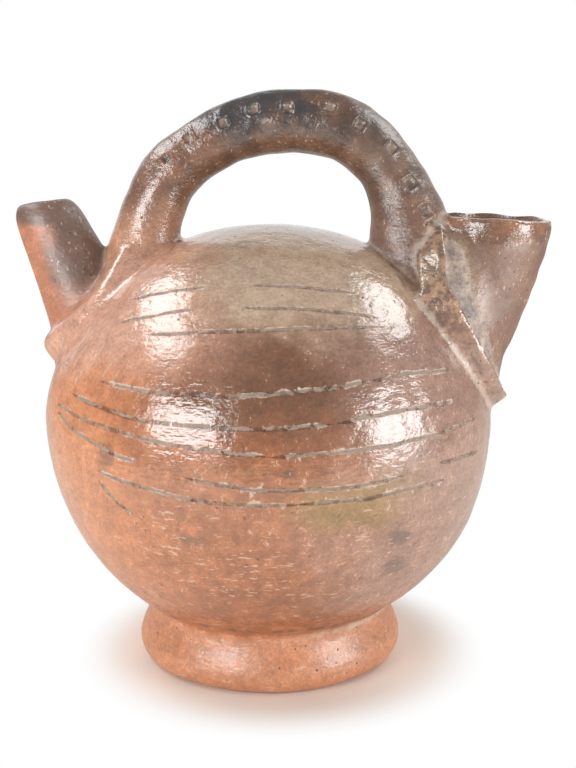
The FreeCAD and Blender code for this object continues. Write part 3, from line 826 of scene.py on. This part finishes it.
clay = Finish("fired_clay")
place = clay.node("ShaderNodeTexCoord").outputs["Object"]
middle_place = clay.node(
    "ShaderNodeVectorMath", {"operation": "SUBTRACT"}, {0: place, 1: (AXIS_X, 0, 0)}
).outputs[0]
apart = clay.node("ShaderNodeSeparateXYZ", None, {0: middle_place})
x, z = [Amount(clay, apart.outputs[axis]) for axis in ("X", "Z")]


def even(waves):
    return (waves, waves, waves)


def scaled(waves):
    """The place on the jug times a number of waves to the metre along each axis."""
    inputs = {0: middle_place, 1: waves}
    return clay.node("ShaderNodeVectorMath", {"operation": "MULTIPLY"}, inputs).outputs[0]


def speckle(waves, detail, rough):
    """Noise from about 0.2 to 0.8, with its number of waves to the metre along each axis."""
    inputs = {"Vector": scaled(waves), "Scale": 1.0, "Detail": detail, "Roughness": rough}
    return clay.amount("ShaderNodeTexNoise", None, inputs, "Fac")


broad = speckle(even(17), 4, 0.6)
blotch = speckle(even(48), 4, 0.62)
mottle = speckle(even(170), 4, 0.65)
grain = speckle(even(700), 3, 0.7)
fine = speckle(even(1900), 2, 0.7)
brush = speckle((45, 45, 330), 3, 0.6)
facets = speckle((260, 260, 520), 2, 0.5)


def patch(at_x, at_z, reach_x, reach_z, edge=0.5, ragged=1.0):
    """1 within a ragged spot on the front and the back, 0 outside it."""
    far = (((x - at_x) / reach_x) ** 2 + ((z - at_z) / reach_z) ** 2) ** 0.5
    far = far + (blotch - 0.5) * 2.2 * ragged + (mottle - 0.5) * 1.2 * ragged
    return far.between(1 + edge, 1 - edge)


wander_z = z + (broad - 0.5) * 0.05 + (blotch - 0.5) * 0.03
wander_x = x + (broad - 0.5) * 0.06 + (blotch - 0.5) * 0.03
# Orange against rust at random, and more orange towards the left as painted light from the left.
orange_and_painted_light = (mottle * 0.5 + blotch * 0.5).between(0.36, 0.66) * 0.6 + x.between(0.02, -0.07) * 0.5
colour = clay.mixed(orange_and_painted_light, RUST, ORANGE)
# Painted light: the left side of the belly is painted a brighter orange.
colour = clay.mixed(wander_x.between(-0.035, -0.085) * 0.8, colour, BRIGHT)
colour = clay.mixed((z + (blotch - 0.5) * 0.01).between(0.034, 0.024) * 0.7, colour, BRIGHT)
band = wander_z.between(0.112, 0.142) * wander_z.between(0.188, 0.162)
colour = clay.mixed(band * wander_x.between(-0.070, -0.015) * 0.95, colour, BROWN)
colour = clay.mixed(wander_x.between(0.012, 0.058) * z.between(0.03, 0.06) * 0.9, colour, PLUM)
colour = clay.mixed(wander_z.between(0.140, 0.166) * wander_x.between(0.005, -0.05), colour, ROSE)
colour = clay.mixed(wander_z.between(0.158, 0.186) * wander_x.between(-0.05, -0.01), colour, TAN)
colour = clay.mixed(patch(0.038, 0.102, 0.024, 0.011) * 0.85, colour, OLIVE)

on_handle, on_funnel = clay.kept("on_handle"), clay.kept("on_funnel")
on_spout, on_cordon = clay.kept("on_spout"), clay.kept("on_cordon")
handle_tone = clay.mixed(blotch.between(0.35, 0.65), GRIP_DARK, GRIP_BROWN)
leg = (z + (blotch - 0.5) * 0.03).between(0.228, 0.200)
leg_tone = clay.mixed(x.between(-0.03, 0.03), LEFT_LEG, RIGHT_LEG)
handle_tone = clay.mixed(leg, handle_tone, leg_tone)
colour = clay.mixed(on_handle * 0.95, colour, handle_tone)
funnel_tone = clay.mixed(blotch.between(0.35, 0.65), FUNNEL_BROWN, FUNNEL_RED)
funnel_low = (z + (blotch - 0.5) * 0.02).between(0.216, 0.204)
funnel_tone = clay.mixed(funnel_low * 0.75, funnel_tone, FUNNEL_SHADE)
colour = clay.mixed(on_funnel * 0.95, colour, funnel_tone)
cordon_tone = clay.mixed(mottle.between(0.4, 0.6), CORDON_DARK, CORDON_TAN)
cordon_low = (z + (blotch - 0.5) * 0.02).between(0.176, 0.160)
cordon_tone = clay.mixed(cordon_low * 0.7, cordon_tone, PLUM)
colour = clay.mixed(on_cordon * x.between(0.0, 0.02) * 0.9, colour, cordon_tone)
spout_dark = (x + (blotch - 0.5) * 0.03).between(-0.108, -0.092) * z.between(0.165, 0.19)
spout_dark = spout_dark.most((z + (blotch - 0.5) * 0.01).between(0.2065, 0.2105))
spout_tone = clay.mixed(spout_dark * 0.9, SPOUT_ORANGE, SPOUT_DARK)
colour = clay.mixed(on_spout * 0.95, colour, spout_tone)

tone = 1 + (mottle - 0.5) * 0.8 + (grain - 0.5) * 1.1 + (blotch - 0.5) * 0.5
tone = tone + (brush - 0.5) * 0.35 + (fine - 0.5) * 0.5
colour = clay.mixed(1.0, colour, clay.node("ShaderNodeCombineColor", None, {
    "Red": tone, "Green": tone, "Blue": tone}).outputs[0], "MULTIPLY")

smudges = patch(*SMUDGES[0])
for smudge in SMUDGES[1:]:
    smudges = smudges.most(patch(*smudge))
colour = clay.mixed(smudges * 0.5, colour, SMUDGE)
sooty = on_handle * patch(-0.012, 0.262, 0.036, 0.013, 0.6) * 0.9
colour = clay.mixed(sooty, colour, SOOT)

line, joint = clay.kept("line"), clay.kept("joint")
crest, inside = clay.kept("crest"), clay.kept("inside")
hollow_dust = (0 - crest).between(0.12, 0.55) * (mottle * 0.6 + grain * 0.4).between(0.36, 0.52)
channel = (clay.kept("channel") + (mottle - 0.5) * 0.6 + (grain - 0.5) * 0.4).between(0.35, 0.75)
joint_dust = (joint + (mottle - 0.5) * 0.5).between(0.68, 0.97) * x.between(0.0, 0.04) * 0.85
line_dust = (line + (grain - 0.5) * 0.4 + (brush - 0.5) * 0.3).between(0.42, 0.58)
line_dust = line_dust * (blotch * 0.5 + mottle * 0.5).between(0.28, 0.44)
dust = hollow_dust.most(joint_dust).most(channel).most(line_dust * 0.95)
dust_tone = clay.mixed(grain.between(0.35, 0.65), FAINT_DUST, DUST)
grey = clay.mixed(grain.between(0.4, 0.6), DARK_GREY, PALE_GREY)
dust_tone = clay.mixed(channel * (mottle * 0.5 + blotch * 0.5).between(0.38, 0.58), dust_tone, grey)
colour = clay.mixed(dust, colour, dust_tone)
pit = (clay.kept("pit") + (grain - 0.5) * 0.6).between(0.35, 0.75)
pit_tone = clay.mixed(mottle.between(0.42, 0.58), PIT_DARK, PIT_PALE)
colour = clay.mixed(pit * 0.75, colour, pit_tone)
# Painted shade: the bottoms of the scratched lines are painted dark in places, more so to the right.
groove_shade = (line + (grain - 0.5) * 0.3).between(0.84, 0.99) * (blotch + x * 1.5).between(0.5, 0.62)
colour = clay.mixed(groove_shade * 0.6, colour, GROOVE_SHADE)
worn = crest.between(0.25, 0.7) * mottle.between(0.4, 0.55)
colour = clay.mixed(worn * 0.5, colour, WORN)


def scattered(waves, ragged, edge, core, rare):
    """Small ragged spots round some of many scattered points."""
    inputs = {"Vector": scaled(even(waves)), "Scale": 1.0, "Randomness": 1.0}
    found = clay.node("ShaderNodeTexVoronoi", None, inputs).outputs
    off_point = Amount(clay, found["Distance"]) + (grain - 0.5) * ragged
    own_number = clay.amount("ShaderNodeSeparateColor", None, {0: found["Color"]})
    return off_point.between(edge, core) * own_number.between(rare, 0.90)


pits = scattered(210, 0.2, 0.16, 0.07, 0.84)
specks = scattered(430, 0.3, 0.26, 0.12, 0.86)
pits = pits.most(specks * (blotch * 0.6 + broad * 0.4).between(0.46, 0.58))
colour = clay.mixed(pits * 0.85, colour, PORE)
chipped = patch(-0.012, 0.071, 0.030, 0.012).most(patch(-0.036, 0.085, 0.010, 0.016))
level_nicks = speckle((190, 190, 900), 2, 0.6).between(0.60, 0.65)
steep_nicks = speckle((700, 700, 320), 2, 0.6).between(0.62, 0.67)
low_part = wander_z.between(0.125, 0.085) * 0.7
nicks = level_nicks * chipped.most(low_part) * (mottle + chipped * 0.1).between(0.48, 0.56)
nicks = nicks.most(steep_nicks * (blotch * 0.5 + mottle * 0.5).between(0.48, 0.56) * 0.8)
slope = clay.node("ShaderNodeCombineXYZ", None, {"X": (x * 0.85 - z * 0.55) * 1100, "Y": z * 30})
streaks = clay.amount("ShaderNodeTexNoise", None, {"Vector": slope.outputs[0], "Scale": 1.0}, "Fac")
streaks = streaks.between(0.60, 0.68) * patch(-0.070, 0.158, 0.020, 0.012, 0.4, 0.5) * 0.7
colour = clay.mixed(nicks.most(streaks) * 0.85, colour, NICK)
# The raw clay inside the hollow, the funnel's throat and the spout's bore is painted dark: painted
# shade for their depth.
colour = clay.mixed(inside, colour, RAW_CLAY_IN_SHADE)

dull = dust.most(inside).most(pits)
rough = 0.12 + (blotch - 0.5) * 0.12 + (mottle - 0.5) * 0.16 + (1 - z.between(0.05, 0.09)) * 0.12
rough = rough + on_handle * (x.between(0.02, 0.05) * 0.16 + 0.10) + z.between(0.045, 0.03) * 0.15
rough = rough + dull * 0.45 + on_funnel * z.between(0.206, 0.196) * 0.45 + on_spout * 0.35
relief = brush * 0.00016 + facets * 0.00028 + mottle * 0.00030 * (1 + on_handle) - pits * 0.00012
relief = relief + grain * 0.00008 * (1 + on_handle + on_funnel)
relief = relief + line * grain * 0.0002
bump = clay.node("ShaderNodeBump", None, {"Strength": 1.0, "Distance": 1.0, "Height": relief})
surface = clay.node("ShaderNodeBsdfPrincipled", None, {
    "Base Color": colour, "Roughness": rough, "IOR": BURNISH_IOR, "Normal": bump.outputs[0],
})
clay.node("ShaderNodeOutputMaterial", None, {"Surface": surface.outputs[0]})

jug.data.materials.clear()
jug.data.materials.append(clay.material)
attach(jug, "root")
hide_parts("pitcher")

# The jug stands on a plain pale table in a room with tall windows to the left and the right,
# which show as bright panes in the burnish. The wall behind and the table far off are white.

TABLE_SIZE, TABLE_TONE = 6.0, (0.93, 0.875, 0.80)
TABLE_SEEN, TABLE_WHITE = 0.068, 0.102
WINDOWS = (
    (-37, 11, 0.62, 0.36, 0.25, 6.2),
    (62, 5, 0.62, 0.31, 0.28, 6.0),
    (-95, 50, 0.75, 0.70, 0.18, 4.8),
    (112, 47, 0.75, 0.45, 0.20, 4.2),
    (180, 20, 1.20, 2.40, 0.80, 0.8),
)
WINDOWS_FACE = Vector((0, 0, 0.13))
EYE_PLACE, EYE_TURN = (0.02442, -0.56423, 0.248), (78.40, 0.196, 2.077)
LENS_LENGTH, SENSOR_WIDTH = 56.25, 36
ROOM_LIGHT = 0.32

bpy.ops.object.select_all(action="DESELECT")
bpy.ops.mesh.primitive_plane_add(size=TABLE_SIZE, location=(0, 0, 0))
table = bpy.context.object
table.name = "table"
cloth = Finish("pale_table")
on_table = cloth.node("ShaderNodeTexCoord").outputs["Object"]
far_off = cloth.amount("ShaderNodeVectorMath", {"operation": "LENGTH"}, {0: on_table}, "Value")
seen = cloth.amount("ShaderNodeLightPath", output="Is Camera Ray")
paper = cloth.node("ShaderNodeBsdfDiffuse", None, {"Color": (*TABLE_TONE, 1)})
glow = cloth.node("ShaderNodeEmission", None, {"Color": (1, 1, 1, 1), "Strength": 1.0})
white = far_off.between(TABLE_SEEN, TABLE_WHITE) * seen
both = cloth.node("ShaderNodeMixShader", None, {
    0: white, 1: paper.outputs[0], 2: glow.outputs[0],
})
cloth.node("ShaderNodeOutputMaterial", None, {"Surface": both.outputs[0]})
table.data.materials.append(cloth.material)

for number, (azimuth, elevation, distance, width, height, radiance) in enumerate(WINDOWS):
    turn, rise = math.radians(azimuth), math.radians(elevation)
    out = Vector((math.sin(turn) * math.cos(rise), -math.cos(turn) * math.cos(rise), math.sin(rise)))
    bpy.ops.object.light_add(
        type="AREA", location=WINDOWS_FACE + out * distance,
        rotation=out.to_track_quat("Z", "Y").to_euler(),
    )
    pane = bpy.context.object
    pane.name = "window_%d" % (number + 1)
    pane.data.shape = "RECTANGLE"
    pane.data.size, pane.data.size_y = width, height
    pane.data.energy = radiance * math.pi * width * height
    pane.visible_camera = False

bpy.ops.object.camera_add(location=EYE_PLACE)
camera = bpy.context.object
camera.name = "photo_camera"
camera.data.lens = LENS_LENGTH
camera.data.sensor_width = SENSOR_WIDTH
camera.rotation_euler = [math.radians(turn) for turn in EYE_TURN]
bpy.context.scene.camera = camera

world = bpy.data.worlds.new("soft light")
bpy.context.scene.world = world
world.use_nodes = True
room = world.node_tree
path = room.nodes.new("ShaderNodeLightPath")
level = room.nodes.new("ShaderNodeMath")
level.operation = "MULTIPLY_ADD"
level.inputs[1].default_value = 1 - ROOM_LIGHT
level.inputs[2].default_value = ROOM_LIGHT
room.links.new(path.outputs["Is Camera Ray"], level.inputs[0])
room.nodes["Background"].inputs["Color"].default_value = (1, 1, 1, 1)
room.links.new(level.outputs[0], room.nodes["Background"].inputs["Strength"])
bpy.context.scene.view_settings.view_transform = "Standard"
